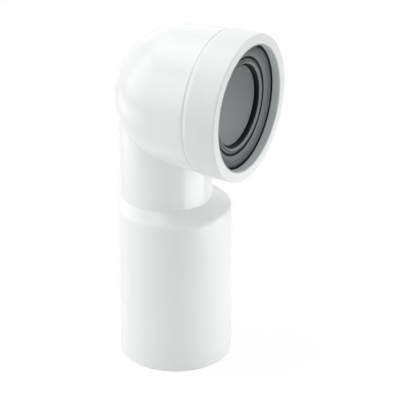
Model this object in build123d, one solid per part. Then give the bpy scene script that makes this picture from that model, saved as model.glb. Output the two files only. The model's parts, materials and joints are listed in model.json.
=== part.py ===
from build123d import *
import math
import os

# Right-angle toilet pan connector, in millimetres.
# Origin: centre of the outlet spigot's open end. +Z runs up the spigot, +X points at the toilet pan.

# Outlet spigot, the lower pipe end that goes into the soil pipe
spigot_diameter = 110.0
spigot_length = 157.0
spigot_lead_in = 1.4

# Narrower leg, flush with the spigot along the wall side, above an eccentric sloped shoulder
leg_step = 20.0
leg_length = 108.5
shoulder_rise = 10.5
shoulder_round = 5.0

# Socket barrel on a horizontal axis, with a domed back and a slight flare towards its mouth
barrel_diameter = 140.4
barrel_flare = 3.7
socket_reach = 80.8
dome_proud = 0.6
crease_round = 2.5
wall = 3.0

# Retaining collar, a cap ring over a rebate at the end of the barrel
collar_length = 33.0
collar_skirt = 2.1
collar_lip = 3.0
collar_overhang = 7.6
collar_chamfer = 1.2
rebate_depth = 0.7
groove_width = 1.8

# Rubber seal, clamped by its root between the collar's lip and the barrel's end
lining_wall = 1.2
lining_depth = 8.9
lining_setback = 0.2
hinge_wall = 1.8
crown_rise = 1.3
crown_run = 5.8
web_drop = 3.6
ridge_height = 1.6
ridge_run = 3.3
funnel_run = 5.0
funnel_drop = 4.6
hole_diameter = 77.2
hole_length = 2.0
lip_wall = 3.2

# Clearance between pieces that fit round one another
fit_clearance = 0.1

# Radii worked out from the sizes above
spigot_radius = spigot_diameter / 2
leg_radius = spigot_radius - leg_step / 2
barrel_radius = barrel_diameter / 2
dome_radius = barrel_radius - barrel_flare
socket_bore_radius = barrel_radius - wall
rebate_radius = barrel_radius - rebate_depth
skirt_radius = rebate_radius + fit_clearance
collar_radius = skirt_radius + collar_skirt
mouth_radius = skirt_radius - collar_overhang

# Places along Z and along the socket axis
shoulder_top = spigot_length + shoulder_rise
socket_height = shoulder_top + leg_length
back_x = -spigot_radius
dome_x = back_x - dome_proud + dome_radius
face_x = socket_reach
lip_x = face_x - collar_lip
collar_rear_x = face_x - collar_length
stop_x = collar_rear_x - groove_width
barrel_end_x = face_x - lining_depth - hinge_wall


def on_socket_axis(profile):
    """Revolve an (axial x, radius) face about the horizontal socket axis."""
    half_plane = Plane(origin=(0, 0, socket_height), x_dir=(1, 0, 0), z_dir=(0, -1, 0))
    return revolve(half_plane * profile, Axis((0, 0, socket_height), (1, 0, 0)))


def domed_profile(radius, flare_end, outline):
    """Half section of a round dome, a flare that leaves it on a tangent, and the outline back to the axis."""
    end_x, end_radius = flare_end
    reach = math.hypot(end_x - dome_x, end_radius)
    touch_angle = math.atan2(end_radius, end_x - dome_x) + math.acos(radius / reach)
    middle_angle = (math.pi + touch_angle) / 2
    back, middle, touch = [
        (dome_x + radius * math.cos(angle), radius * math.sin(angle))
        for angle in (math.pi, middle_angle, touch_angle)
    ]
    dome = ThreePointArc(back, middle, touch)
    rest = Polyline(touch, flare_end, *outline, back)
    return make_face([dome] + rest.edges())


def barrel_outside():
    """Solid outside of the barrel: dome, flare, stop behind the collar and the rebate under it."""
    outline = [(stop_x, rebate_radius), (barrel_end_x, rebate_radius), (barrel_end_x, 0)]
    return on_socket_axis(domed_profile(dome_radius, (stop_x, barrel_radius), outline))


def barrel_inside():
    """Hollow of the barrel, one wall inside the dome and the flare, with a plain bore to its end."""
    outline = [(barrel_end_x, socket_bore_radius), (barrel_end_x, 0)]
    return on_socket_axis(domed_profile(dome_radius - wall, (stop_x, socket_bore_radius), outline))


def shoulder_line(inset):
    """Outer corner and leg foot of the shoulder's front line, moved in by a wall where asked."""
    slope = math.atan2(shoulder_rise, leg_step)
    drop = inset * (1 - math.sin(slope)) / math.cos(slope)
    corner = (spigot_radius - inset, spigot_length - drop)
    foot = (spigot_radius - leg_step - inset, shoulder_top - drop)
    return corner, foot


def soft_corner(corner, foot):
    """Start, middle and end of the arc that softens the shoulder's outer corner."""
    turn = math.atan2(corner[0] - foot[0], foot[1] - corner[1])
    centre_x = corner[0] - shoulder_round
    centre_z = corner[1] - shoulder_round * math.tan(turn / 2)
    return [
        (centre_x + shoulder_round * math.cos(angle), centre_z + shoulder_round * math.sin(angle))
        for angle in (0, turn / 2, turn)
    ]


def upright(front_line, back):
    """Spigot, shoulder and leg as one solid: circles from a back line to the points of a front line."""
    circles = []
    for front_x, height in front_line:
        radius = (front_x - back) / 2
        circles.append(Pos(back + radius, 0, height) * Circle(radius))
    spigot = extrude(circles[0], -front_line[0][1])
    shoulder = loft(circles, ruled=True)
    leg = extrude(circles[-1], socket_height - front_line[-1][1])
    return spigot + shoulder + leg


def make_body():
    """One moulding: domed barrel and upright pipe, hollow throughout, with a soft crease between them."""
    corner, foot = shoulder_line(0)
    barrel = barrel_outside()
    pipe = upright(soft_corner(corner, foot) + [foot], back_x)
    outside = barrel + pipe
    outside = fillet(new_edges(barrel, pipe, combined=outside), crease_round)
    body = outside - (barrel_inside() + upright(shoulder_line(wall), back_x + wall))
    end_circles = body.edges().filter_by(GeomType.CIRCLE).group_by(Axis.Z)[0]
    outer_circle = end_circles.sort_by(lambda edge: edge.radius)[-1]
    return chamfer(outer_circle, spigot_lead_in)


def make_collar():
    """Cap ring: a skirt over the barrel's rebate and a flat lip that holds the seal in."""
    profile = Polyline(
        (collar_rear_x, collar_radius),
        (face_x - collar_chamfer, collar_radius),
        (face_x, collar_radius - collar_chamfer),
        (face_x, mouth_radius),
        (lip_x, mouth_radius),
        (lip_x, skirt_radius),
        (collar_rear_x, skirt_radius),
        close=True,
    )
    return on_socket_axis(make_face(profile))


def make_seal():
    """Rubber seal: lining of the mouth, clamped root, crowned web on a hinge, ridge and funnel lip."""
    lining_radius = mouth_radius - lining_wall
    lining_outer_radius = mouth_radius - fit_clearance
    crown_radius = lining_radius - crown_run
    hole_radius = hole_diameter / 2
    crest_radius = hole_radius + funnel_run
    ridge_foot_radius = crest_radius + ridge_run
    crown_depth = lining_depth - crown_rise
    ridge_foot_depth = crown_depth + web_drop
    crest_depth = ridge_foot_depth - ridge_height
    hole_depth = crest_depth + funnel_drop
    lip_end_depth = hole_depth + hole_length
    root_depth = lining_depth + hinge_wall
    section = [
        (lining_setback, lining_outer_radius),
        (lining_setback, lining_radius),
        (lining_depth, lining_radius),
        (crown_depth, crown_radius),
        (ridge_foot_depth, ridge_foot_radius),
        (crest_depth, crest_radius),
        (hole_depth, hole_radius),
        (lip_end_depth, hole_radius),
        (lip_end_depth, hole_radius + lip_wall),
        (root_depth, crown_radius),
        (root_depth, rebate_radius),
        (collar_lip, rebate_radius),
        (collar_lip, lining_outer_radius),
    ]
    points = [(face_x - depth, radius) for depth, radius in section]
    return on_socket_axis(make_face(Polyline(*points, close=True)))


os.makedirs("parts", exist_ok=True)
export_step(make_body(), "parts/body.step")
export_step(make_collar(), "parts/retaining_collar.step")
export_step(make_seal(), "parts/rubber_seal.step")
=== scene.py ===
import json
import logging
import math
from dataclasses import dataclass
from enum import Enum
from typing import Sequence

import bpy
import numpy as np
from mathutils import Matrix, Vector


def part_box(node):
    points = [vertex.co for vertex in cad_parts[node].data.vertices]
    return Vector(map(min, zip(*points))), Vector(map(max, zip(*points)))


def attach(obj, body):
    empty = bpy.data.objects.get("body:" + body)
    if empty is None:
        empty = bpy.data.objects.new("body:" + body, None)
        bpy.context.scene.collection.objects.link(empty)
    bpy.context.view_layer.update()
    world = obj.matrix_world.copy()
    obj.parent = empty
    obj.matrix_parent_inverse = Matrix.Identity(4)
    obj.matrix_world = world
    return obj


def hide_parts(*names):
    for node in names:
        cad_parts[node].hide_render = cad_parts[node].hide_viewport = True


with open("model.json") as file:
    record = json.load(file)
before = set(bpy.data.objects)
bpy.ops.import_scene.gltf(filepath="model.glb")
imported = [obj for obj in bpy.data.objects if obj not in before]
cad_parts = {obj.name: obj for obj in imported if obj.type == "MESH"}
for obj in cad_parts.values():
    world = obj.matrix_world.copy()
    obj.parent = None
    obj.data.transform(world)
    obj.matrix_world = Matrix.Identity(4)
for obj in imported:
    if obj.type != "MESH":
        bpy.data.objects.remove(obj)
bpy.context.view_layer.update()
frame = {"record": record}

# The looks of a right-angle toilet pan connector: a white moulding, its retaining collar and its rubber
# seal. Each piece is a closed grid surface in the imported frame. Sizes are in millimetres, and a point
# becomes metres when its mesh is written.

log = logging.getLogger("pan_connector")

MM = 0.001
BODY = "root"

PAINTED_LIGHT = "tone"         # attribute that carries a piece's painted light and shade
COLUMNS = 288         # points round a ring
ARC_STEPS = 7         # facets in a rounded corner
GUARD = 0.4           # distance of the supporting row beside a rounding, in millimetres
GUARD_PARTS = 3.0     # a supporting row takes at most one part in so many of its straight side
NOISE_LOW = 0.3       # most of a noise texture's values lie above this
NOISE_HIGH = 0.7      # and below this
GRAIN_DETAIL = 2.0    # octaves of finer noise on a relief
DRIFT_DETAIL = 3.0    # octaves of finer noise on a drifting colour

Tint = tuple[float, float, float]


class Slot(Enum):
    """The record's material slots."""

    MOULDING = "white_plastic"
    COLLAR = "white_collar"
    SEAL = "grey_rubber"


class Grain(Enum):
    """Size of a surface's grain, as cycles of noise in a metre."""

    BROAD = 22.0
    PEEL = 320.0
    FINE = 2600.0


# Grid geometry


@dataclass(frozen=True)
class Corner:
    """A corner of an outline and the radius that rounds it.

    Args:
        along: Place along the outline's axis, in millimetres.
        out: Distance out from the axis, in millimetres.
        radius: Radius of the rounding, in millimetres.
    """

    along: float
    out: float
    radius: float = 0.0


@dataclass(frozen=True)
class PaintedLightCorner(Corner):
    """A corner of an outline that also carries painted light and shade, from 0 to 1.

    Args:
        before: Painted light or shade on the straight side that comes in.
        tone: Painted light or shade on the rounding.
        after: Painted light or shade on the straight side that goes out.
    """

    before: float = 0.5
    tone: float = 0.5
    after: float = 0.5


def unit(vectors: np.ndarray) -> np.ndarray:
    """Each vector of an array divided by its own length."""
    return vectors / np.linalg.norm(vectors, axis=-1, keepdims=True)


def swing(start: np.ndarray, end: np.ndarray, steps: int) -> np.ndarray:
    """Unit vectors turned evenly from start to end.

    With turn the angle between the two, the vector at share w is start times sin((1 - w) turn) plus end
    times sin(w turn), all divided by sin(turn).

    Args:
        start: First unit vectors, one in each row.
        end: Last unit vectors, one in each row.
        steps: Number of equal steps from the first to the last.

    Returns:
        Array of steps + 1 by rows by coordinates.
    """
    turn = np.arccos(np.clip((start * end).sum(axis=-1), -1.0, 1.0))
    share = np.linspace(0.0, 1.0, steps + 1)[:, None]
    from_start = (np.sin((1.0 - share) * turn) / np.sin(turn))[..., None]
    from_end = (np.sin(share * turn) / np.sin(turn))[..., None]
    return from_start * start + from_end * end


def rounded_outline(corners: Sequence[Corner], closed: bool) -> np.ndarray:
    """Points of an outline with each corner rounded by an arc that touches both of its sides.

    The arc's centre lies on the corner's bisector, at the radius over the sine of half the corner's angle.
    A supporting point beside each end of an arc keeps the shading of the straight side flat.

    Args:
        corners: The outline's corners in order.
        closed: Whether the last corner joins the first. The ends of an open outline stay plain points.

    Returns:
        Array of points by (along, out).
    """
    points = np.array([(corner.along, corner.out) for corner in corners])
    radii = np.array([corner.radius for corner in corners])
    to_next = np.roll(points, -1, axis=0) - points
    lengths = np.linalg.norm(to_next, axis=1)
    ahead = unit(to_next)
    behind = -np.roll(ahead, 1, axis=0)
    half = np.arccos(np.clip((ahead * behind).sum(axis=1), -1.0, 1.0)) / 2.0
    reach = radii / np.tan(half)
    straight = lengths - reach - np.roll(reach, -1)
    guard_ahead = np.minimum(GUARD, straight / GUARD_PARTS)
    guard_behind = np.roll(guard_ahead, 1)
    centre = points + unit(ahead + behind) * (radii / np.sin(half))[:, None]
    spokes = swing(
        unit(points + behind * reach[:, None] - centre),
        unit(points + ahead * reach[:, None] - centre),
        ARC_STEPS,
    )
    arcs = centre[:, None] + np.swapaxes(spokes, 0, 1) * radii[:, None, None]
    before = points + behind * (reach + guard_behind)[:, None]
    after = points + ahead * (reach + guard_ahead)[:, None]
    rows = np.concatenate([before[:, None], arcs, after[:, None]], axis=1)
    if closed:
        return rows.reshape(-1, 2)
    return np.concatenate([points[:1], rows[1:-1].reshape(-1, 2), points[-1:]])


def corner_painted_light(corners: Sequence[PaintedLightCorner]) -> np.ndarray:
    """Painted light or shade of each point of a closed rounded outline, in the order of rounded_outline's
    points.
    """
    light_and_shade = np.array([(corner.before, corner.tone, corner.after) for corner in corners])
    return np.repeat(light_and_shade, (1, ARC_STEPS + 1, 1), axis=1).ravel()


def set_painted_light(piece: bpy.types.Object, light_and_shade: np.ndarray) -> None:
    """Write painted light or shade for each point of a piece into its attribute."""
    attribute = piece.data.attributes.new(PAINTED_LIGHT, "FLOAT", "POINT")
    attribute.data.foreach_set("value", light_and_shade.astype(np.float32))


def ring_angles() -> np.ndarray:
    """Angles of a ring's points, evenly spaced."""
    return np.linspace(0.0, math.tau, COLUMNS, endpoint=False)


def lathed(outline: np.ndarray, angles: np.ndarray, height: float) -> np.ndarray:
    """Outline carried round the socket's axis, a line along X at the given height.

    A point (x, r) at angle a goes to (x, r cos a, height + r sin a).

    Args:
        outline: Points by (x, radius).
        angles: Angles round the axis, from +Y towards +Z.
        height: Height of the axis.

    Returns:
        Grid of outline points by angles by (x, y, z).
    """
    x = np.broadcast_to(outline[:, :1], (len(outline), len(angles)))
    radius = outline[:, 1:]
    return np.stack([x, radius * np.cos(angles), height + radius * np.sin(angles)], axis=-1)


def signed_volume(points: np.ndarray, quads: np.ndarray) -> float:
    """Volume inside a closed set of quads, above zero where they face outwards.

    Each quad is two triangles, and a triangle adds a sixth of the triple product of its corners.

    Args:
        points: The corners' places.
        quads: Indices of each quad's four corners.

    Returns:
        The volume, in the points' unit cubed.
    """
    a, b, c, d = (points[quads[:, corner]] for corner in range(4))
    return float((np.cross(a, b) * c + np.cross(a, c) * d).sum() / 6.0)


def grid_piece(name: str, grid: np.ndarray) -> bpy.types.Object:
    """Mesh object of a grid whose rows and columns both close on themselves.

    Args:
        name: Name of the piece.
        grid: Points by rows, columns and coordinates, in millimetres.

    Returns:
        The linked object, at the origin, smooth and facing outwards.
    """
    rows, columns = grid.shape[:2]
    index = np.arange(rows * columns).reshape(rows, columns)
    beside = np.roll(index, -1, axis=1)
    quads = np.stack([index, beside, np.roll(beside, -1, axis=0), np.roll(index, -1, axis=0)], axis=-1)
    quads = quads.reshape(-1, 4)
    points = grid.reshape(-1, 3) * MM
    if signed_volume(points, quads) < 0.0:
        quads = quads[:, ::-1]
    mesh = bpy.data.meshes.new(name)
    mesh.from_pydata(points.tolist(), [], quads.tolist())
    mesh.shade_smooth()
    piece = bpy.data.objects.new(name, mesh)
    bpy.context.scene.collection.objects.link(piece)
    return piece


# Finishes


class NodeSheet:
    """The node tree of one material or world, with short calls to add and join nodes."""

    def __init__(self, owner: bpy.types.ID) -> None:
        """Clear the owner's node tree.

        Args:
            owner: Material or world whose nodes are written.
        """
        owner.use_nodes = True
        self.tree = owner.node_tree
        self.tree.nodes.clear()

    def add(self, kind: str, **settings: object) -> bpy.types.Node:
        """New node of a kind, with the settings given by name."""
        node = self.tree.nodes.new(kind)
        for setting, value in settings.items():
            setattr(node, setting, value)
        return node

    def join(self, source: bpy.types.NodeSocket, target: bpy.types.NodeSocket) -> None:
        """Link an output socket to an input socket."""
        self.tree.links.new(source, target)

    def noise(self, grain: Grain, detail: float) -> bpy.types.NodeSocket:
        """Noise on the object's own coordinates.

        Args:
            grain: Size of the noise.
            detail: Octaves of finer noise on top.

        Returns:
            The noise value, about 0 to 1.
        """
        place = self.add("ShaderNodeTexCoord")
        noise = self.add("ShaderNodeTexNoise")
        noise.inputs["Scale"].default_value = grain.value
        noise.inputs["Detail"].default_value = detail
        self.join(place.outputs["Object"], noise.inputs["Vector"])
        return noise.outputs["Fac"]

    def spread(self, source: bpy.types.NodeSocket, low: float, high: float) -> bpy.types.NodeSocket:
        """Noise values stretched from their usual range to another one.

        Args:
            source: The noise value.
            low: Result at the low end of the noise.
            high: Result at the high end of the noise.

        Returns:
            The stretched value.
        """
        stretch = self.add("ShaderNodeMapRange")
        stretch.inputs["From Min"].default_value = NOISE_LOW
        stretch.inputs["From Max"].default_value = NOISE_HIGH
        stretch.inputs["To Min"].default_value = low
        stretch.inputs["To Max"].default_value = high
        self.join(source, stretch.inputs["Value"])
        return stretch.outputs["Result"]

    def tint(self, share: bpy.types.NodeSocket, first: Tint, second: Tint) -> bpy.types.NodeSocket:
        """Colour between two tints, by a share from 0 to 1."""
        ramp = self.add("ShaderNodeValToRGB")
        ramp.color_ramp.elements[0].color = (*first, 1.0)
        ramp.color_ramp.elements[1].color = (*second, 1.0)
        self.join(share, ramp.inputs["Fac"])
        return ramp.outputs["Color"]


@dataclass(frozen=True)
class MouldedFinish:
    """A moulded surface: two close tints, a range of roughness and a fine relief.

    Args:
        name: Name of the material.
        tint: Colour over most of the surface, linear.
        shade: Colour that drifts through it, linear.
        smooth: Lowest roughness.
        rough: Highest roughness.
        grain: Size of the relief.
        relief: Depth of the relief, in millimetres.
        specular: Strength of the gloss, where 0.5 is common plastic.
    """

    name: str
    tint: Tint
    shade: Tint
    smooth: float
    rough: float
    grain: Grain
    relief: float
    specular: float = 0.5

    def material(self) -> bpy.types.Material:
        """Write the finish as a node material.

        Returns:
            The new material.
        """
        material = bpy.data.materials.new(self.name)
        sheet = NodeSheet(material)
        output = sheet.add("ShaderNodeOutputMaterial")
        shader = sheet.add("ShaderNodeBsdfPrincipled")
        sheet.join(shader.outputs["BSDF"], output.inputs["Surface"])
        shader.inputs["Specular IOR Level"].default_value = self.specular
        sheet.join(self.colour(sheet), shader.inputs["Base Color"])
        grain = sheet.noise(self.grain, GRAIN_DETAIL)
        sheet.join(sheet.spread(grain, self.smooth, self.rough), shader.inputs["Roughness"])
        bump = sheet.add("ShaderNodeBump")
        bump.inputs["Distance"].default_value = self.relief * MM
        sheet.join(grain, bump.inputs["Height"])
        sheet.join(bump.outputs["Normal"], shader.inputs["Normal"])
        return material

    def colour(self, sheet: NodeSheet) -> bpy.types.NodeSocket:
        """Colour that drifts between the two tints."""
        drift = sheet.spread(sheet.noise(Grain.BROAD, DRIFT_DETAIL), 0.0, 1.0)
        return sheet.tint(drift, self.tint, self.shade)


@dataclass(frozen=True)
class PaintedLightFinish(MouldedFinish):
    """A moulded surface whose colour follows the piece's painted light and shade: shade where it is 0,
    tint where it is 1.

    Args:
        mottle: How far the painted value drifts at random to either side.
    """

    mottle: float = 0.03

    def colour(self, sheet: NodeSheet) -> bpy.types.NodeSocket:
        """Colour by the painted light and shade attribute, with a slight drift."""
        tone = sheet.add("ShaderNodeAttribute", attribute_name=PAINTED_LIGHT)
        drift = sheet.spread(sheet.noise(Grain.BROAD, DRIFT_DETAIL), -self.mottle, self.mottle)
        total = sheet.add("ShaderNodeMath", operation="ADD")
        sheet.join(tone.outputs["Fac"], total.inputs[0])
        sheet.join(drift, total.inputs[1])
        return sheet.tint(total.outputs["Value"], self.shade, self.tint)


# The tint, used inside, is painted light: lighter than the outer colour, it lifts the shaded inside.
MOULDING_FINISH = PaintedLightFinish(
    name="gloss_white_moulding",
    tint=(0.918, 0.938, 0.942),
    shade=(0.852, 0.863, 0.862),
    smooth=0.19,
    rough=0.25,
    grain=Grain.PEEL,
    relief=0.003,
)
COLLAR_FINISH = MouldedFinish(
    name="satin_white_collar",
    tint=(0.824, 0.833, 0.832),
    shade=(0.806, 0.815, 0.815),
    smooth=0.30,
    rough=0.38,
    grain=Grain.PEEL,
    relief=0.003,
)
# Painted light and shade: the near-black shade colour paints shade in the creases and round the hole,
# and the tint paints light on the lining.
SEAL_FINISH = PaintedLightFinish(
    name="satin_grey_rubber",
    tint=(0.712, 0.748, 0.756),
    shade=(0.003, 0.003, 0.004),
    smooth=0.42,
    rough=0.55,
    grain=Grain.FINE,
    relief=0.004,
    specular=0.06,
)


# The three pieces


@dataclass(frozen=True)
class Dome:
    """A round dome on the socket's axis, and the cone that leaves it on a tangent and widens to its end.

    Args:
        centre: Place of the dome's centre along X.
        radius: Radius of the dome.
        end: Place of the cone's wide end along X.
        end_radius: Radius of the cone's wide end.
        height: Height of the axis.
    """

    centre: float
    radius: float
    end: float
    end_radius: float
    height: float

    @property
    def flare(self) -> float:
        """Angle between the cone and the axis."""
        run = self.end - self.centre
        steep = math.atan2(self.end_radius, run)
        spread = math.acos(self.radius / math.hypot(run, self.end_radius))
        return steep + spread - math.pi / 2.0

    @property
    def touch(self) -> float:
        """Place along X where the cone leaves the dome."""
        return self.centre - self.radius * math.sin(self.flare)

    def grown(self, by: float) -> "Dome":
        """The same form with its surface moved outwards."""
        flare = self.flare
        return Dome(
            self.centre,
            self.radius + by,
            self.end - by * math.sin(flare),
            self.end_radius + by * math.cos(flare),
            self.height,
        )

    def radius_at(self, x: np.ndarray) -> np.ndarray:
        """Distance of the surface from the axis: a circle on the dome, a sloped line on the cone."""
        round_part = np.sqrt(np.maximum(self.radius**2 - (x - self.centre) ** 2, 0.0))
        cone_part = self.end_radius + (x - self.end) * math.tan(self.flare)
        return np.where(x < self.touch, round_part, cone_part)

    def arc(self, x: np.ndarray) -> np.ndarray:
        """Distance along the surface from the dome's pole to a place along X."""
        turned = np.arccos(np.clip((self.centre - np.minimum(x, self.touch)) / self.radius, -1.0, 1.0))
        return self.radius * turned + np.maximum(x - self.touch, 0.0) / math.cos(self.flare)

    def below(self, x: np.ndarray, y: np.ndarray) -> tuple[np.ndarray, np.ndarray]:
        """Points of the underside straight above the given places, and the outward normals there.

        A point lies below the axis by the root of the squared radius less the squared y.

        Args:
            x: Places along X.
            y: Places along Y.

        Returns:
            The points and the unit normals, one in each row.
        """
        radius = self.radius_at(x)
        sink = -np.sqrt(radius**2 - y**2)
        on_dome = x < self.touch
        lean = np.where(on_dome, (x - self.centre) / self.radius, -math.sin(self.flare))
        out = np.where(on_dome, radius / self.radius, math.cos(self.flare))
        points = np.stack([x, y, self.height + sink], axis=-1)
        return points, np.stack([lean, out * y / radius, out * sink / radius], axis=-1)

    def unrolled(self, points: np.ndarray) -> np.ndarray:
        """Points of the surface as flat (across, up), their distance from the pole kept."""
        flat = unit(points[:, 1:] - np.array([0.0, self.height]))
        return flat * self.arc(points[:, 0])[:, None]

    def rolled(self, flat: np.ndarray) -> np.ndarray:
        """Points of the surface from their flat places: the reverse of unrolled."""
        arc = np.linalg.norm(flat, axis=-1)
        turned = np.minimum(arc, self.arc(np.array(self.touch))) / self.radius
        past = np.maximum(arc - self.arc(np.array(self.touch)), 0.0)
        x = self.centre - self.radius * np.cos(turned) + past * math.cos(self.flare)
        radius = self.radius * np.sin(turned) + past * math.sin(self.flare)
        angle = np.arctan2(flat[..., 1], flat[..., 0])
        return np.stack([x, radius * np.cos(angle), self.height + radius * np.sin(angle)], axis=-1)


@dataclass(frozen=True)
class Moulding:
    """The white moulding: spigot, eccentric shoulder, leg and domed barrel, hollow with an even wall.

    One grid runs up the outside from the spigot's end to the barrel's end, and back down the inside.

    Args:
        spigot_radius: Radius of the spigot.
        socket_height: Height of the socket's axis.
        collar_rear: Place of the collar's rear edge along X.
        barrel_end: Place of the barrel's end along X.
        barrel_radius: Radius of the barrel at its stop.
        barrel_flare: How much smaller the dome's radius is.
        spigot_length: Height of the shoulder's outer corner.
        leg_step: How much narrower the leg is than the spigot.
        shoulder_rise: Rise of the shoulder's front line.
        dome_proud: How far the dome stands out behind the spigot.
        wall: Thickness of the wall.
        rebate_depth: Depth of the rebate under the collar.
        groove_width: Gap between the barrel's stop and the collar.
        stop_run: Length of the bevel at the stop.
        stop_drop: Fall of that bevel.
        stop_round: Radius between the flare and the bevel.
        stop_edge_round: Radius of the bevel's edge.
        rebate_round: Radius in the rebate's corner.
        spigot_end_round: Radius of the spigot's outer end.
        shoulder_round: Radius of the shoulder's outer corner.
        foot_round: Radius at the leg's foot.
        crease_round: Radius of the crease between leg and barrel.
        bore_crease_round: Radius of the same crease on the inside.
        edge_round: Radius of the other edges.
        leg_rows: Rows up the leg.
        crease_rows: Steps over the crease.
        barrel_rows: Rows over the barrel.
    """

    spigot_radius: float
    socket_height: float
    collar_rear: float
    barrel_end: float
    barrel_radius: float = 70.2
    barrel_flare: float = 3.7
    spigot_length: float = 157.0
    leg_step: float = 20.0
    shoulder_rise: float = 10.5
    dome_proud: float = 0.6
    wall: float = 3.0
    rebate_depth: float = 0.7
    groove_width: float = 1.8
    stop_run: float = 1.2
    stop_drop: float = 0.32
    stop_round: float = 1.5
    stop_edge_round: float = 0.2
    rebate_round: float = 0.1
    spigot_end_round: float = 1.5
    shoulder_round: float = 5.0
    foot_round: float = 0.6
    crease_round: float = 2.5
    bore_crease_round: float = 2.0
    edge_round: float = 0.4
    leg_rows: int = 8
    crease_rows: int = 8
    barrel_rows: int = 56

    def build(self) -> bpy.types.Object:
        """Make the moulding, its two skins joined at both ends, with 0 outside and 1, painted lighter,
        inside.

        Returns:
            The moulding's object.
        """
        outer = self.skin(0.0)
        inner = self.skin(self.wall)[1:-1]
        piece = grid_piece("moulding", np.concatenate([outer, inner[::-1]]))
        # Painted light: the inner skin takes the lighter tint.
        set_painted_light(piece, np.concatenate([np.zeros(outer[..., 0].size), np.ones(inner[..., 0].size)]))
        piece.data.materials.append(MOULDING_FINISH.material())
        return piece

    def skin(self, inset: float) -> np.ndarray:
        """One skin of the wall, from the middle of the spigot's end to the middle of the barrel's end.

        Args:
            inset: How far the skin lies inside the outer surface.

        Returns:
            Grid of rows by columns by (x, y, z).
        """
        upright = self.upright(inset)
        crease = self.crease(inset)
        leg = self.leg(upright[-1], crease[0])
        barrel, angles = self.barrel(inset, crease[-1])
        mouth = lathed(self.mouth_outline(inset), angles, self.socket_height)
        return np.concatenate([upright, leg, crease, barrel, mouth[1:]])

    def upright(self, inset: float) -> np.ndarray:
        """Rows of the spigot and shoulder: circles that all touch the back line.

        A circle from back b to front f has its centre at (f + b) / 2 and its radius (f - b) / 2. Near the
        spigot's end the circles share the spigot's axis instead, so that b is -f.

        Args:
            inset: How far the skin lies inside the outer surface.

        Returns:
            Grid of rows by columns by (x, y, z).
        """
        front = self.spigot_radius - inset
        slope = math.atan2(self.shoulder_rise, self.leg_step)
        drop = inset * (1.0 - math.sin(slope)) / math.cos(slope)
        shoulder = self.spigot_length - drop
        foot = shoulder + self.shoulder_rise
        end_round = self.spigot_end_round if inset == 0.0 else self.edge_round
        corners = [
            Corner(0.0, self.spigot_radius - self.wall / 2.0),
            Corner(0.0, front, end_round),
            Corner(shoulder, front, max(self.shoulder_round - inset, self.edge_round)),
            Corner(foot, front - self.leg_step, self.foot_round + inset),
            Corner(foot + self.shoulder_rise, front - self.leg_step),
        ]
        outline = rounded_outline(corners, closed=False)
        height, reach = outline[:, :1], outline[:, 1:]
        back = np.where(height < self.spigot_length / 2.0, -reach, -front)
        angles = ring_angles()
        radius = (reach - back) / 2.0
        x = (reach + back) / 2.0 + radius * np.cos(angles)
        return np.stack([x, radius * np.sin(angles), np.broadcast_to(height, x.shape)], axis=-1)

    def leg(self, foot: np.ndarray, head: np.ndarray) -> np.ndarray:
        """Rows up the leg, between the shoulder's last ring and the crease's first one.

        Args:
            foot: Ring at the leg's foot.
            head: Ring where the crease touches the leg.

        Returns:
            Grid of rows by columns by (x, y, z), the two rings left out.
        """
        rise = head[:, 2] - foot[:, 2]
        share = np.linspace(0.0, 1.0, self.leg_rows)[1:-1, None]
        share = np.concatenate([share * np.ones_like(rise), (1.0 - GUARD / rise)[None]])
        return foot + share[..., None] * (head - foot)

    def dome(self, inset: float) -> Dome:
        """The barrel's dome and flare at the given inset."""
        return Dome(
            centre=-self.spigot_radius - self.dome_proud + self.barrel_radius - self.barrel_flare,
            radius=self.barrel_radius - self.barrel_flare - inset,
            end=self.collar_rear - self.groove_width,
            end_radius=self.barrel_radius - inset,
            height=self.socket_height,
        )

    def crease(self, inset: float) -> np.ndarray:
        """Rows of the rounding between leg and barrel, rolled out by a ball that touches both.

        The ball's centre runs where the leg and the barrel, both grown by the ball's radius, meet. From
        there the rounding's rows point back at the leg first and swing over to the barrel.

        Args:
            inset: How far the skin lies inside the outer surface.

        Returns:
            Grid of rows by columns by (x, y, z).
        """
        ball = self.crease_round if inset == 0.0 else self.bore_crease_round
        leg_radius = self.spigot_radius - self.leg_step / 2.0 - inset
        leg_x = -self.leg_step / 2.0
        angles = ring_angles()
        away_from_leg = np.stack([np.cos(angles), np.sin(angles), np.zeros_like(angles)], axis=-1)
        x = leg_x + (leg_radius + ball) * np.cos(angles)
        y = (leg_radius + ball) * np.sin(angles)
        centre, away_from_barrel = self.dome(inset).grown(ball).below(x, y)
        return centre - ball * swing(away_from_leg, away_from_barrel, self.crease_rows)

    def barrel(self, inset: float, start: np.ndarray) -> tuple[np.ndarray, np.ndarray]:
        """Rows over the dome and flare, from the crease to a circle just short of the barrel's stop.

        The surface is unrolled about the dome's pole: a point's distance from the pole and its angle are
        polar coordinates. There the crease is a closed loop, and straight rays from its middle run out
        through it to the circle. Each column follows one ray.

        Args:
            inset: How far the skin lies inside the outer surface.
            start: Ring where the crease touches the barrel.

        Returns:
            The grid of rows by columns by (x, y, z), and each column's angle at the circle.
        """
        dome = self.dome(inset)
        loop = dome.unrolled(start)
        hub = np.array([0.0, (loop[:, 1].min() + loop[:, 1].max()) / 2.0])
        away = unit(loop - hub)
        rim = dome.arc(np.array(dome.end - self.groove_width))
        along = away @ hub
        far = -along + np.sqrt(along**2 - hub @ hub + rim**2)
        near = np.linalg.norm(loop - hub, axis=-1)
        share = np.linspace(0.0, 1.0, self.barrel_rows)[1:, None] * np.ones_like(near)
        share = np.concatenate([(GUARD / (far - near))[None], share])
        spokes = hub + (near + share * (far - near))[..., None] * away
        return dome.rolled(spokes), np.arctan2(spokes[-1, :, 1], spokes[-1, :, 0])

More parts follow.
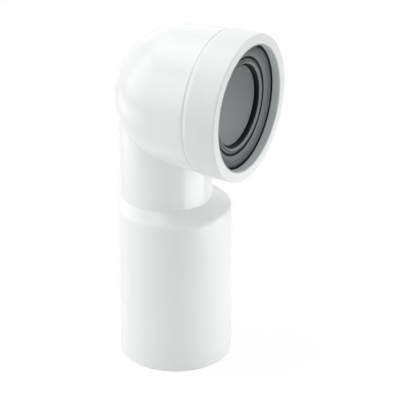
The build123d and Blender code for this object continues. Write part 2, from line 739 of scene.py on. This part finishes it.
    def mouth_outline(self, inset: float) -> np.ndarray:
        """Outline (x, radius) from the flare's end to the middle of the barrel's end.

        Args:
            inset: How far the skin lies inside the outer surface.

        Returns:
            Points by (x, radius).
        """
        dome = self.dome(inset)
        start_x = dome.end - self.groove_width
        start = Corner(start_x, float(dome.radius_at(np.array(start_x))))
        rebate = self.barrel_radius - self.rebate_depth
        bore = self.barrel_radius - self.wall
        middle = Corner(self.barrel_end, (rebate + bore) / 2.0)
        if inset > 0.0:
            bend = Corner(dome.end, dome.end_radius, self.wall)
            edge = Corner(self.barrel_end, dome.end_radius, self.edge_round)
            return rounded_outline([start, bend, edge, middle], closed=False)
        bevel_x = dome.end - self.stop_run
        bevel = Corner(bevel_x, float(dome.radius_at(np.array(bevel_x))), self.stop_round)
        stop = Corner(dome.end, dome.end_radius - self.stop_drop, self.stop_edge_round)
        corner = Corner(dome.end, rebate, self.rebate_round)
        edge = Corner(self.barrel_end, rebate, self.edge_round)
        return rounded_outline([start, bevel, stop, corner, edge, middle], closed=False)


@dataclass(frozen=True)
class RetainingCollar:
    """The white cap ring: a skirt over the barrel's end and a flat lip in front of the seal.

    Args:
        socket_height: Height of the socket's axis.
        rear: Place of the rear edge along X.
        face: Place of the front face along X.
        radius: Outer radius at the front.
        draft: How much smaller the outer radius is at the rear.
        bevel_run: Length of the bevel at the rear edge.
        bevel_drop: Fall of that bevel.
        bevel_round: Radius between the bevel and the skirt's outside.
        skirt: Thickness of the skirt.
        lip: Thickness of the lip.
        overhang: How far the lip reaches in from the skirt.
        front_round: Radius of the front edge.
        rear_round: Radius of the rear edge.
        edge_round: Radius of the lip's edges.
        hidden_round: Radius of the skirt's inner edge at the rear.
    """

    socket_height: float
    rear: float
    face: float
    radius: float
    draft: float = 0.5
    bevel_run: float = 3.0
    bevel_drop: float = 0.68
    bevel_round: float = 5.0
    skirt: float = 2.1
    lip: float = 3.0
    overhang: float = 7.6
    front_round: float = 1.5
    rear_round: float = 0.8
    edge_round: float = 0.4
    hidden_round: float = 0.1

    def build(self) -> bpy.types.Object:
        """Make the collar, an outline carried round the socket's axis.

        Returns:
            The collar's object.
        """
        rear_radius = self.radius - self.draft
        inside = self.radius - self.skirt
        mouth = inside - self.overhang
        corners = [
            Corner(self.rear, rear_radius - self.bevel_drop, self.rear_round),
            Corner(self.rear + self.bevel_run, rear_radius, self.bevel_round),
            Corner(self.face, self.radius, self.front_round),
            Corner(self.face, mouth, self.edge_round),
            Corner(self.face - self.lip, mouth, self.edge_round),
            Corner(self.face - self.lip, inside, self.edge_round),
            Corner(self.rear, inside, self.hidden_round),
        ]
        outline = rounded_outline(corners, closed=True)
        piece = grid_piece("retaining_ring", lathed(outline, ring_angles(), self.socket_height))
        piece.data.materials.append(COLLAR_FINISH.material())
        return piece


@dataclass(frozen=True)
class RubberSeal:
    """The grey seal: lining of the mouth, clamped root, hinged web, raised ridge, funnel and round hole.

    Args:
        socket_height: Height of the socket's axis.
        face: Place of the collar's front face along X, from which depths are measured.
        root_radius: Outer radius of the clamped root.
        mouth_radius: Radius of the collar's mouth.
        hole_radius: Radius of the hole.
        fit: Clearance round the lining.
        lip_depth: Depth of the collar's lip.
        lining_wall: Thickness of the lining.
        lining_depth: Depth of the lining's foot.
        lining_setback: Depth of the lining's front edge.
        hinge_wall: Thickness of the web at the lining's foot.
        crown_rise: How far the web's crown stands in front of the lining's foot.
        crown_run: How far the crown lies in from the lining.
        web_drop: Fall of the web from the crown to the ridge's foot.
        ridge_height: Rise of the ridge from its foot to its crest.
        ridge_run: Width of the ridge from its foot to its crest.
        funnel_run: Width of the funnel from the crest to the hole.
        funnel_drop: Fall of the funnel.
        hole_length: Length of the hole's wall.
        lip_wall: Thickness of the lip at the hole's end.
        crease_run: Width of the crease outside the ridge's foot.
        crease_rise: How far the crease's outer edge stands in front of the foot.
        knee_run: How far the funnel's knee lies in from the crest.
        knee_drop: Fall of the funnel from the crest to the knee.
        valley_round: Radius at the lining's foot.
        crown_round: Radius of the crown.
        knee_round: Radius of the knee.
        crest_round: Radius of the crest.
        lip_round: Radius of the hole's edge.
        edge_round: Radius of the other edges.
        back_tone: Tone of the sides that collar and barrel hide.
    """

    socket_height: float
    face: float
    root_radius: float
    mouth_radius: float
    hole_radius: float
    fit: float = 0.1
    lip_depth: float = 3.0
    lining_wall: float = 1.2
    lining_depth: float = 8.9
    lining_setback: float = 0.2
    hinge_wall: float = 1.8
    crown_rise: float = 1.3
    crown_run: float = 5.8
    web_drop: float = 4.4
    ridge_height: float = 2.4
    ridge_run: float = 2.4
    funnel_run: float = 5.0
    funnel_drop: float = 4.6
    hole_length: float = 2.0
    lip_wall: float = 3.2
    crease_run: float = 2.2
    crease_rise: float = 1.2
    knee_run: float = 3.0
    knee_drop: float = 2.3
    valley_round: float = 0.8
    crown_round: float = 7.0
    knee_round: float = 4.0
    crest_round: float = 0.8
    lip_round: float = 0.9
    edge_round: float = 0.4
    back_tone: float = 0.6

    def build(self) -> bpy.types.Object:
        """Make the seal, an outline carried round the socket's axis.

        Returns:
            The seal's object.
        """
        section = self.section()
        outline = rounded_outline(section, closed=True)
        outline[:, 0] = self.face - outline[:, 0]
        piece = grid_piece("lip_seal", lathed(outline, ring_angles(), self.socket_height))
        # Painted light and shade on the seal, set corner by corner.
        set_painted_light(piece, np.repeat(corner_painted_light(section), COLUMNS))
        piece.data.materials.append(SEAL_FINISH.material())
        return piece

    def section(self) -> list[PaintedLightCorner]:
        """Corners of the seal's section, with shade painted in the creases and round the hole.

        Each has its depth, radius and rounding, then the painted light or shade before, on and after it.

        Returns:
            The corners from the lining's front edge inwards, and back along the hidden side.
        """
        lining = self.mouth_radius - self.lining_wall
        lining_back = self.mouth_radius - self.fit
        crown = lining - self.crown_run
        crest = self.hole_radius + self.funnel_run
        foot = crest + self.ridge_run
        crown_depth = self.lining_depth - self.crown_rise
        foot_depth = crown_depth + self.web_drop
        crest_depth = foot_depth - self.ridge_height
        hole_depth = crest_depth + self.funnel_drop
        lip_end = hole_depth + self.hole_length
        root_depth = self.lining_depth + self.hinge_wall
        crease = foot + self.crease_run
        crease_depth = foot_depth - self.crease_rise
        knee = crest - self.knee_run
        knee_depth = crest_depth + self.knee_drop
        lip_back = self.hole_radius + self.lip_wall
        edge = self.edge_round
        hidden = (self.back_tone,) * 3
        # Painted light and shade on one grey rubber: light on the lining, near black in the valley,
        # the creases and the hole, and darkening down the funnel from the crest into the hole.
        return [
            PaintedLightCorner(self.lining_setback, lining_back, edge, *hidden),
            PaintedLightCorner(self.lining_setback, lining, edge, self.back_tone, 0.8, 0.95),
            PaintedLightCorner(self.lining_depth, lining, self.valley_round, 0.92, 0.0, 0.0),
            PaintedLightCorner(crown_depth, crown, self.crown_round, 0.14, 0.19, 0.23),
            PaintedLightCorner(crease_depth, crease, edge, 0.32, 0.04, 0.0),
            PaintedLightCorner(foot_depth, foot, edge, 0.0, 0.02, 0.28),
            PaintedLightCorner(crest_depth, crest, self.crest_round, 0.34, 0.16, 0.38),
            PaintedLightCorner(knee_depth, knee, self.knee_round, 0.36, 0.03, 0.0),
            PaintedLightCorner(hole_depth, self.hole_radius, self.lip_round, 0.0, 0.0, 0.0),
            PaintedLightCorner(lip_end, self.hole_radius, edge, 0.0, 0.0, 0.3),
            PaintedLightCorner(lip_end, lip_back, edge, 0.4, 0.5, self.back_tone),
            PaintedLightCorner(root_depth, crown, self.crown_round, *hidden),
            PaintedLightCorner(root_depth, self.root_radius, edge, *hidden),
            PaintedLightCorner(self.lip_depth, self.root_radius, edge, *hidden),
            PaintedLightCorner(self.lip_depth, lining_back, edge, *hidden),
        ]


# Studio


def towards(azimuth: float, elevation: float) -> Vector:
    """Unit vector towards an azimuth and an elevation in degrees, where azimuth 0 is -Y and 90 is +X."""
    turn, rise = math.radians(azimuth), math.radians(elevation)
    return Vector((math.sin(turn) * math.cos(rise), -math.cos(turn) * math.cos(rise), math.sin(rise)))


@dataclass(frozen=True)
class Softbox:
    """A rectangular lamp that faces the object.

    The brightness of its face is its power, divided by pi and by its area.

    Args:
        name: Name of the lamp.
        azimuth: Degrees round from the camera, to the right.
        elevation: Degrees above the object's middle, or below it where under 0.
        distance: Metres from the object's middle.
        width: Metres across.
        height: Metres upright.
        level: Brightness of its face, where 1 shows as white.
    """

    name: str
    azimuth: float
    elevation: float
    distance: float
    width: float
    height: float
    level: float

    def place(self, middle: Vector, camera_azimuth: float) -> None:
        """Add the lamp to the scene.

        Args:
            middle: The point that it faces, in metres.
            camera_azimuth: Azimuth of the camera in degrees.
        """
        data = bpy.data.lights.new(self.name, "AREA")
        data.shape = "RECTANGLE"
        data.size, data.size_y = self.width, self.height
        data.energy = self.level * math.pi * self.width * self.height
        lamp = bpy.data.objects.new(self.name, data)
        away = towards(camera_azimuth + self.azimuth, self.elevation)
        lamp.location = middle + away * self.distance
        lamp.rotation_euler = away.to_track_quat("Z", "Y").to_euler()
        lamp.visible_camera = False
        bpy.context.scene.collection.objects.link(lamp)


@dataclass(frozen=True)
class Studio:
    """White floor, white surroundings, soft lamps and the photograph's camera.

    Args:
        camera_azimuth: Degrees of the camera round from -Y towards +X.
        camera_elevation: Degrees of the camera above its target.
        camera_distance: Metres from the target to the camera.
        camera_target: The point that camera and lamps face, in metres.
        lens: Focal length in millimetres.
        sensor: Width of the sensor in millimetres.
        floor_half: Half of the floor's side in metres.
        floor_white: Share of the light that the floor throws back.
        floor_glow: Strength of the floor's glow.
        glow_share: Share of the glow in what is seen of the floor near the object.
        fade_start: Metres from the object up to which that share holds.
        fade_end: Metres from the object at which only the glow is seen.
        softboxes: The lamps.
    """

    camera_azimuth: float = 28.88
    camera_elevation: float = 26.6
    camera_distance: float = 2.713
    camera_target: tuple[float, float, float] = (0.0219, 0.0099, 0.1615)
    lens: float = 252.0
    sensor: float = 36.0
    floor_half: float = 6.0
    floor_white: float = 0.9
    floor_glow: float = 1.03
    glow_share: float = 0.85
    fade_start: float = 0.5
    fade_end: float = 2.0
    softboxes: tuple[Softbox, ...] = (
        Softbox("left_softbox", -88.0, 22.0, 1.7, 1.6, 1.4, 1.85),
        Softbox("right_softbox", 100.0, 22.0, 1.7, 1.2, 1.4, 2.1),
        Softbox("top_softbox", -90.0, 85.0, 1.7, 2.0, 2.0, 0.9),
        Softbox("rear_softbox", -125.0, 65.0, 1.7, 1.6, 1.6, 1.26),
        Softbox("front_softbox", 12.0, 34.0, 2.0, 2.0, 1.6, 1.27),
        Softbox("back_softbox", 180.0, 24.0, 2.0, 2.0, 1.6, 0.45),
        Softbox("left_card", -95.0, -9.0, 0.45, 0.5, 0.14, 1.15),
        Softbox("front_card", -60.0, -20.0, 0.36, 0.4, 0.07, 0.47),
        Softbox("right_card", 72.0, -21.0, 0.35, 0.38, 0.07, 3.9),
    )

    def build(self) -> None:
        """Add floor, surroundings, lamps and camera, and set the plain view transform."""
        self.floor()
        self.world()
        for softbox in self.softboxes:
            softbox.place(Vector(self.camera_target), self.camera_azimuth)
        self.camera()
        bpy.context.scene.view_settings.view_transform = "Standard"

    def seen(self, sheet: NodeSheet) -> bpy.types.NodeSocket:
        """Value that is 1 for camera, glossy and transmission rays, and 0 for the others."""
        path = sheet.add("ShaderNodeLightPath")
        glossy = sheet.add("ShaderNodeMath", operation="MAXIMUM")
        every = sheet.add("ShaderNodeMath", operation="MAXIMUM")
        sheet.join(path.outputs["Is Camera Ray"], glossy.inputs[0])
        sheet.join(path.outputs["Is Glossy Ray"], glossy.inputs[1])
        sheet.join(glossy.outputs["Value"], every.inputs[0])
        sheet.join(path.outputs["Is Transmission Ray"], every.inputs[1])
        return every.outputs["Value"]

    def faded(self, sheet: NodeSheet) -> bpy.types.NodeSocket:
        """Share of the glow by the distance from the object: glow_share near it, and 1 far away."""
        place = sheet.add("ShaderNodeTexCoord")
        away = sheet.add("ShaderNodeVectorMath", operation="LENGTH")
        fade = sheet.add("ShaderNodeMapRange")
        fade.inputs["From Min"].default_value = self.fade_start
        fade.inputs["From Max"].default_value = self.fade_end
        fade.inputs["To Min"].default_value = self.glow_share
        sheet.join(place.outputs["Object"], away.inputs[0])
        sheet.join(away.outputs["Value"], fade.inputs["Value"])
        return fade.outputs["Result"]

    def floor(self) -> None:
        """White floor under the object."""
        half = self.floor_half
        mesh = bpy.data.meshes.new("floor")
        corners = [(-half, -half, 0.0), (half, -half, 0.0), (half, half, 0.0), (-half, half, 0.0)]
        mesh.from_pydata(corners, [], [(0, 1, 2, 3)])
        mesh.materials.append(self.floor_material())
        floor = bpy.data.objects.new("floor", mesh)
        bpy.context.scene.collection.objects.link(floor)

    def floor_material(self) -> bpy.types.Material:
        """Matt white that keeps the object's shadow, and a glow over it that only looking rays meet.

        Returns:
            The new material.
        """
        material = bpy.data.materials.new("white_floor")
        sheet = NodeSheet(material)
        output = sheet.add("ShaderNodeOutputMaterial")
        matt = sheet.add("ShaderNodeBsdfDiffuse")
        matt.inputs["Color"].default_value = (self.floor_white,) * 3 + (1.0,)
        glow = sheet.add("ShaderNodeEmission")
        glow.inputs["Strength"].default_value = self.floor_glow
        blend = sheet.add("ShaderNodeMixShader")
        share = sheet.add("ShaderNodeMath", operation="MULTIPLY")
        sheet.join(self.seen(sheet), share.inputs[0])
        sheet.join(self.faded(sheet), share.inputs[1])
        sheet.join(share.outputs["Value"], blend.inputs["Fac"])
        sheet.join(matt.outputs["BSDF"], blend.inputs[1])
        sheet.join(glow.outputs["Emission"], blend.inputs[2])
        sheet.join(blend.outputs["Shader"], output.inputs["Surface"])
        return material

    def world(self) -> None:
        """Surroundings that are white to look at and give no light of their own."""
        world = bpy.data.worlds.new("surroundings")
        bpy.context.scene.world = world
        sheet = NodeSheet(world)
        output = sheet.add("ShaderNodeOutputWorld")
        white = sheet.add("ShaderNodeBackground")
        white.inputs["Color"].default_value = (1.0, 1.0, 1.0, 1.0)
        sheet.join(self.seen(sheet), white.inputs["Strength"])
        sheet.join(white.outputs["Background"], output.inputs["Surface"])

    def camera(self) -> None:
        """Camera at the photograph's viewing angle."""
        data = bpy.data.cameras.new("camera")
        data.lens = self.lens
        data.sensor_width = self.sensor
        camera = bpy.data.objects.new("camera", data)
        away = towards(self.camera_azimuth, self.camera_elevation)
        camera.location = Vector(self.camera_target) + away * self.camera_distance
        camera.rotation_euler = away.to_track_quat("Z", "Y").to_euler()
        bpy.context.scene.collection.objects.link(camera)
        bpy.context.scene.camera = camera


def mount(name: str) -> dict:
    """The record's mount of that name."""
    return next(entry for entry in frame["record"]["mounts"] if entry["name"] == name)


def dress(piece: bpy.types.Object, node: str) -> None:
    """Let a piece stand for its CAD node and ride with the part.

    Args:
        piece: The piece.
        node: Name of the CAD node.
    """
    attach(piece, BODY)
    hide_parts(node)
    log.info("%s: %d faces, stands for %s", piece.name, len(piece.data.polygons), node)


def main() -> None:
    """Build the three pieces and the studio."""
    logging.basicConfig(level=logging.INFO)
    inlet = mount("pan_inlet")
    collar_low, collar_high = (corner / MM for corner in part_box("retaining_collar"))
    body_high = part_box("body")[1] / MM
    socket_height = inlet["pos_m"][2] / MM
    collar = RetainingCollar(
        socket_height=socket_height,
        rear=collar_low.x,
        face=collar_high.x,
        radius=collar_high.z - socket_height,
    )
    moulding = Moulding(
        spigot_radius=mount("outlet_spigot")["dims"]["r_mm"],
        socket_height=socket_height,
        collar_rear=collar_low.x,
        barrel_end=body_high.x,
    )
    seal = RubberSeal(
        socket_height=socket_height,
        face=collar_high.x,
        root_radius=moulding.barrel_radius - moulding.rebate_depth,
        mouth_radius=collar.radius - collar.skirt - collar.overhang,
        hole_radius=inlet["dims"]["r_mm"],
    )
    dress(moulding.build(), "body")
    dress(collar.build(), "retaining_collar")
    dress(seal.build(), "rubber_seal")
    Studio().build()


if __name__ == "__main__":
    main()
